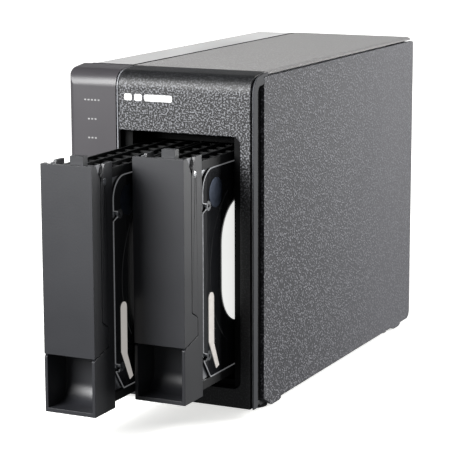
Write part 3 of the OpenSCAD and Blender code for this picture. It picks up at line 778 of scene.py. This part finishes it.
def lid_outline(low, high, screws):
    """A drive lid's edge as (y, z): three round corners, a bevelled one at the lower front, and
    notches around the two front screws."""
    y0, y1 = low.y + 0.5 * MM, high.y - 1.4 * MM
    z0, z1 = low.z + 1.4 * MM, high.z - 1.4 * MM
    front, back, notch = 9 * MM, 6 * MM, 3.2 * MM  # radii
    bites = [point for z in sorted(screws, reverse=True)
             for point in arc((y0 + 1.6 * MM, z), notch, 120, -120, 10)]
    bevel = [(y0, z0 + 9 * MM), (y0 + 6 * MM, z0)]
    return (arc((y0 + front, z1 - front), front, 90, 180) + bites + bevel
            + arc((y1 - back, z0 + back), back, 270, 360)
            + arc((y1 - back, z1 - back), back, 0, 90))


def inset(outline, amount):
    """A closed outline moved in along its own normals."""
    result = []
    for i, (u, v) in enumerate(outline):
        before, after = outline[i - 1], outline[(i + 1) % len(outline)]
        du, dv = after[0] - before[0], after[1] - before[1]
        size = math.hypot(du, dv) or 1
        result.append((u + dv / size * amount, v - du / size * amount))
    return result


class STORAGE_OT_drives(Operator):
    """Press the drives' lids, and add their rims, swages, labels, seals and film strips"""
    bl_idname = "storage.drives"
    bl_label = "Drives"

    def execute(self, context):
        drives = settings().drives
        for side in SIDES:
            body = side + "_tray"
            dress(cast_aluminium(), 0.25, "drive_base_" + side)
            dress(cast_aluminium(), 0, "drive_actuator_" + side)
            dress(polished_platter(), 0, "drive_platters_" + side)
            dress(solder_mask(), 0, "drive_board_" + side)
            dress(black_nylon(), 0, "drive_connector_" + side)
            dress(nickel_steel(), 0, "cover_screws_" + side, "tray_screws_" + side)

            # The lid faces +x, and depths are counted back from the outermost face, the label's
            low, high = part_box("drive_cover_" + side)
            front, face = low.y, high.x
            middle = (low.z + high.z) / 2
            outline = lid_outline(low, high, (middle + 33 * MM, middle - 40 * MM))
            bm = bmesh.new()
            extrude(bm, outline, "x", low.x, low.x + 0.75 * MM)
            extrude(bm, inset(outline, 1.7 * MM), "x", low.x + 0.4 * MM, face - 0.35 * MM)
            piece("drive_lid_" + side, bm, coated_lid_steel(), body,
                  ("drive_cover_" + side,), 0.4)

            # A pale band on the lid's raised edge: a painted highlight
            bm = bmesh.new()
            band(bm, inset(outline, 1.5 * MM), inset(outline, 2.1 * MM),
                 "x", face - 0.6 * MM, face - 0.3 * MM)
            piece("lid_rim_highlight_" + side, bm, painted_edge_highlight(), body)

            # A low ring pressed around the platters
            swage = [(45.5 * MM, face - 0.5 * MM), (45.2 * MM, face - 0.16 * MM),
                     (44.4 * MM, face - 0.12 * MM), (43.6 * MM, face - 0.16 * MM),
                     (43.3 * MM, face - 0.5 * MM)]
            bm = bmesh.new()
            turn(bm, swage, "x", (front + 51.1 * MM, middle), steps=96)
            piece("lid_swage_" + side, bm, coated_lid_steel(), body)

            # The label's front corners are round and its back ones square
            corner, start = drives.label_corner, front + drives.label_start
            head, foot, end = middle + 31.9 * MM, middle - 29.1 * MM, high.y - 16 * MM
            label = (arc((start + corner, head - corner), corner, 90, 180)
                     + arc((start + corner, foot + corner), corner, 180, 270)
                     + [(end, foot), (end, head)])
            bm = bmesh.new()
            extrude(bm, label, "x", face - 0.2 * MM, face)
            piece("drive_label_" + side, bm, label_film(), body)

            seal = [(0.2 * MM, face - 0.4 * MM), (7.2 * MM, face - 0.4 * MM),
                    (7.2 * MM, face - 0.2 * MM), (6.5 * MM, face - 0.14 * MM),
                    (0.2 * MM, face - 0.18 * MM)]
            bm = bmesh.new()
            turn(bm, seal, "x", (front + 12.6 * MM, middle + 38.4 * MM), steps=40)
            piece("drive_seal_" + side, bm, foil_seal(), body)

            # A strip with a round tip runs straight down and then slants towards the back
            left, right = front + 4.2 * MM, front + 9.8 * MM
            tip = arc(((left + right) / 2, middle - 12 * MM), 2.8 * MM, 0, 180, 8)
            strip = tip + [(left, middle - 33 * MM), (left + 8 * MM, middle - 48 * MM),
                           (right + 5.4 * MM, middle - 47 * MM), (right, middle - 35 * MM)]
            bm = bmesh.new()
            extrude(bm, strip, "x", face - 0.4 * MM, face - 0.05 * MM)
            piece("lid_strip_" + side, bm, damping_film(), body, edge_mm=0.12)
        return {"FINISHED"}


# ---------------------------------------------------------------- fan, rear and boards

def fan_blade(bm, centre, root, tip, middle, reach, start, sweep):
    """Adds a swept, cambered blade: two grids of square cells, joined around their edges."""
    cells = 8
    wide = cells + 1
    camber, half_thick = 0.9 * MM, 0.45 * MM
    skins = []
    for skin in (-1, 1):
        grid = []
        for i in range(wide):
            t = i / cells
            radius = root + (tip - root) * t
            chord = math.radians(40 - 10 * t)
            for j in range(wide):
                s = j / cells - 0.5
                bulge = math.sin((s + 0.5) * math.pi)
                a = start + s * chord - sweep * t * t
                y = middle + s * 2 * reach + bulge * (camber + skin * half_thick)
                grid.append(bm.verts.new((centre[0] + radius * math.cos(a), y,
                                          centre[1] + radius * math.sin(a))))
        skins.append(grid)
    for grid in skins:
        for i in range(cells):
            for j in range(cells):
                k = i * wide + j
                bm.faces.new((grid[k], grid[k + 1], grid[k + wide + 1], grid[k + wide]))
    sides = [(i * wide + j, (i + 1) * wide + j) for i in range(cells) for j in (0, cells)]
    ends = [(i * wide + j, i * wide + j + 1) for j in range(cells) for i in (0, cells)]
    for a, b in sides + ends:
        bm.faces.new((skins[0][a], skins[0][b], skins[1][b], skins[1][a]))


class STORAGE_OT_fan(Operator):
    """Give the fan swept blades, and finish its frame and the rear's screws"""
    bl_idname = "storage.fan"
    bl_label = "Fan"

    def execute(self, context):
        fan = settings().fan
        dress(black_nylon(), 0.25, "fan_frame")
        dress(black_oxide_steel(), 0.12, "fan_screws", "case_screws")
        low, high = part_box("fan_rotor")
        joint = next(j for j in frame["joints"] if j["name"] == "fan_spin")
        centre = (joint["pos_m"][0], joint["pos_m"][2])
        hub, tip, chamfer = 12.5 * MM, 31.8 * MM, 0.8 * MM
        profile = [(0.3 * MM, low.y), (hub - 1.2 * MM, low.y), (hub, low.y + chamfer),
                   (hub, high.y - chamfer), (hub - 1.2 * MM, high.y), (0.3 * MM, high.y)]
        bm = bmesh.new()
        turn(bm, profile, "y", centre, steps=48)
        middle = (low.y + high.y) / 2
        reach = (high.y - low.y) * 0.399  # each way, so a blade spans four fifths of the hub
        for blade in range(fan.blades):
            fan_blade(bm, centre, hub - 0.5 * MM, tip, middle, reach,
                      blade * 2 * math.pi / fan.blades, fan.sweep)
        piece("fan_impeller", bm, black_nylon(), "fan", ("fan_rotor",))
        return {"FINISHED"}


class STORAGE_OT_rear_sockets(Operator):
    """Finish the rear sockets and add their contacts"""
    bl_idname = "storage.rear_sockets"
    bl_label = "Rear sockets"

    def execute(self, context):
        dress(zinc_steel(), 0.12, "lan_jacks", "rear_usb_ports", "hdmi_port")
        dress(black_nylon(), 0.2, "power_inlet")
        stack_pitch = 18  # mm between the sockets of a stack

        # Eight sprung wires slant across each network socket
        low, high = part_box("lan_jacks")
        left, mouth = low.x, high.y
        wire = [(left + 2.1 * MM, mouth - 11 * MM), (left + 2.6 * MM, mouth - 11 * MM),
                (left + 5.2 * MM, mouth - 4 * MM), (left + 4.7 * MM, mouth - 3.6 * MM),
                (left + 2.1 * MM, mouth - 9 * MM)]
        bm = bmesh.new()
        for jack in (0, 1):
            first = low.z + stack_pitch * MM * jack + 3.5 * MM
            for i in range(8):
                z = first + i * 1.27 * MM
                extrude(bm, wire, "z", z, z + 0.45 * MM)
        piece("lan_contacts", bm, gold_plate(), "case")

        # Four flat contacts on the tongue of each serial-bus socket
        low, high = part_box("rear_usb_ports")
        bm = bmesh.new()
        for port in (0, 1):
            for x in (1.95, 9.55):
                for i in range(4):
                    z = low.z + (stack_pitch * port + 3.4 + i * 2.1) * MM
                    block(bm, (low.x + (x + 1.86) * MM, high.y - 9 * MM, z),
                          (low.x + (x + 2.02) * MM, high.y - 3.4 * MM, z + 1.0 * MM))
        piece("usb_contacts", bm, gold_plate(), "case")
        return {"FINISHED"}


class STORAGE_OT_boards(Operator):
    """Finish the boards and place their small parts"""
    bl_idname = "storage.boards"
    bl_label = "Boards"

    def execute(self, context):
        dress(solder_mask(), 0, "mainboard", "memory_module")
        dress(cast_aluminium(), 0.2, "heat_sink")
        dress(nickel_steel(), 0.3, "coin_cell")

        # Chips and cans stand in two rows, below and above the drives
        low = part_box("mainboard")[0]
        face = low.x + 1.6 * MM
        can = [(0.3 * MM, face), (3 * MM, face), (3.2 * MM, face + 0.6 * MM),
               (2.9 * MM, face + 1.2 * MM), (3.1 * MM, face + 1.8 * MM),
               (3.1 * MM, face + 7.6 * MM), (2.7 * MM, face + 8 * MM), (0.3 * MM, face + 8 * MM)]
        rng = random.Random(7)
        chips, cans = bmesh.new(), bmesh.new()
        for i in range(26):
            y = low.y + rng.uniform(30, 175) * MM
            z = rng.choice((rng.uniform(16, 26), rng.uniform(136, 150))) * MM
            if i % 3:
                block(chips, (face, y, z), (face + 1.0 * MM, y + 5 * MM, z + 3.5 * MM))
            else:
                turn(cans, can, "x", (y, z), steps=24)
        piece("board_chips", chips, chip_epoxy(), "case", edge_mm=0.15)
        piece("board_capacitors", cans, cast_aluminium(), "case")
        return {"FINISHED"}


# ---------------------------------------------------------------- studio

def softbox(name, place, target, width, height, power):
    """A rectangular light that faces its target."""
    lamp = bpy.data.lights.new(name, "AREA")
    lamp.shape = "RECTANGLE"
    lamp.size = width
    lamp.size_y = height
    lamp.energy = power
    obj = bpy.data.objects.new(name, lamp)
    obj.location = place
    obj.rotation_euler = (Vector(target) - Vector(place)).to_track_quat("-Z", "Y").to_euler()
    bpy.context.scene.collection.objects.link(obj)


class STORAGE_OT_studio(Operator):
    """Set the camera, the pale floor and the soft lights"""
    bl_idname = "storage.studio"
    bl_label = "Studio"

    def execute(self, context):
        scene = context.scene
        studio = settings().studio
        camera = bpy.data.cameras.new("camera")
        camera.lens = studio.lens
        camera.sensor_width = 36
        view = bpy.data.objects.new("camera", camera)
        view.location = studio.camera_place
        view.rotation_euler = (Matrix.Rotation(studio.camera_yaw, 3, "Z")
                               @ Matrix.Rotation(math.pi / 2 + studio.camera_pitch, 3, "X")
                               @ Matrix.Rotation(studio.camera_roll, 3, "Z")).to_euler()
        scene.collection.objects.link(view)
        scene.camera = view

        # The object neither mirrors the floor nor takes its light, which would grey its underside
        bm = bmesh.new()
        bmesh.ops.create_grid(bm, x_segments=8, y_segments=8, size=6)
        mesh = bpy.data.meshes.new("floor")
        bm.to_mesh(mesh)
        bm.free()
        mesh.materials.append(floor_paint())
        floor = bpy.data.objects.new("floor", mesh)
        scene.collection.objects.link(floor)
        floor.visible_diffuse = False
        floor.visible_glossy = False

        softbox("key", (-0.36, -0.88, 0.55), (0, -0.1, 0.14), 0.55, 0.6, 23)
        softbox("side", (1.5, 1.8, 0.8), (0, 0.03, 0.06), 1.2, 1.2, 71)
        softbox("back", (-1.3, 2.7, 0.42), (0, 0.1, 0.15), 3.4, 0.8, 17.5)
        softbox("bounce", (0.6, 0.75, 0.05), (0.04, -0.06, 0.03), 0.5, 0.08, 0.8)

        world = bpy.data.worlds.new("studio")
        world.use_nodes = True
        scene.world = world
        # The sky is dimmer overhead than around the horizon
        background = world.node_tree.nodes["Background"]
        background.inputs["Color"].default_value = linear("#f2f4f6")
        tree = world.node_tree
        sky = node(tree, "ShaderNodeTexCoord").node.outputs["Generated"]
        height = node(tree, "ShaderNodeSeparateXYZ", links={"Vector": sky}).node.outputs["Z"]
        node(tree, "ShaderNodeMapRange",
             {"From Min": 0.3, "From Max": 0.8, "To Min": 0.22, "To Max": 0.07},
             {"Value": height}, to=[background.inputs["Strength"]])
        scene.view_settings.view_transform = "Standard"
        return {"FINISHED"}


# ---------------------------------------------------------------- panel and start

STEPS = (STORAGE_OT_studio, STORAGE_OT_case_shell, STORAGE_OT_front_marks,
         STORAGE_OT_front_controls, STORAGE_OT_drive_bay, STORAGE_OT_drive_trays, STORAGE_OT_drives,
         STORAGE_OT_fan, STORAGE_OT_rear_sockets, STORAGE_OT_boards)


class StorageBoxSettings(PropertyGroup):
    case: PointerProperty(type=CaseSettings, name="Case", description="Mouldings and panels")
    trays: PointerProperty(type=TraySettings, name="Trays", description="Drive trays and rails")
    drives: PointerProperty(type=DriveSettings, name="Drives", description="Drives in the trays")
    fan: PointerProperty(type=FanSettings, name="Fan", description="Rear fan")
    studio: PointerProperty(type=StudioSettings, name="Studio", description="Camera and floor")


class STORAGE_PT_storage_box(Panel):
    """Lists the steps that finish the storage box"""
    bl_idname = "STORAGE_PT_storage_box"
    bl_label = "Storage Box"
    bl_space_type = "VIEW_3D"
    bl_region_type = "UI"
    bl_category = "Storage Box"

    def draw(self, context):
        for step in STEPS:
            self.layout.operator(step.bl_idname)


CLASSES = (CaseSettings, TraySettings, DriveSettings, FanSettings, StudioSettings,
           StorageBoxSettings, *STEPS, STORAGE_PT_storage_box)


def register():
    """Adds the settings, the operators and the panel."""
    for cls in CLASSES:
        bpy.utils.register_class(cls)
    bpy.types.Scene.storage_box = PointerProperty(type=StorageBoxSettings)


def unregister():
    """Takes them away again."""
    del bpy.types.Scene.storage_box
    for cls in reversed(CLASSES):
        bpy.utils.unregister_class(cls)


def main():
    """Runs every step in order."""
    register()
    for step in STEPS:
        group, name = step.bl_idname.split(".")
        getattr(getattr(bpy.ops, group), name)()


if __name__ == "__main__":
    main()
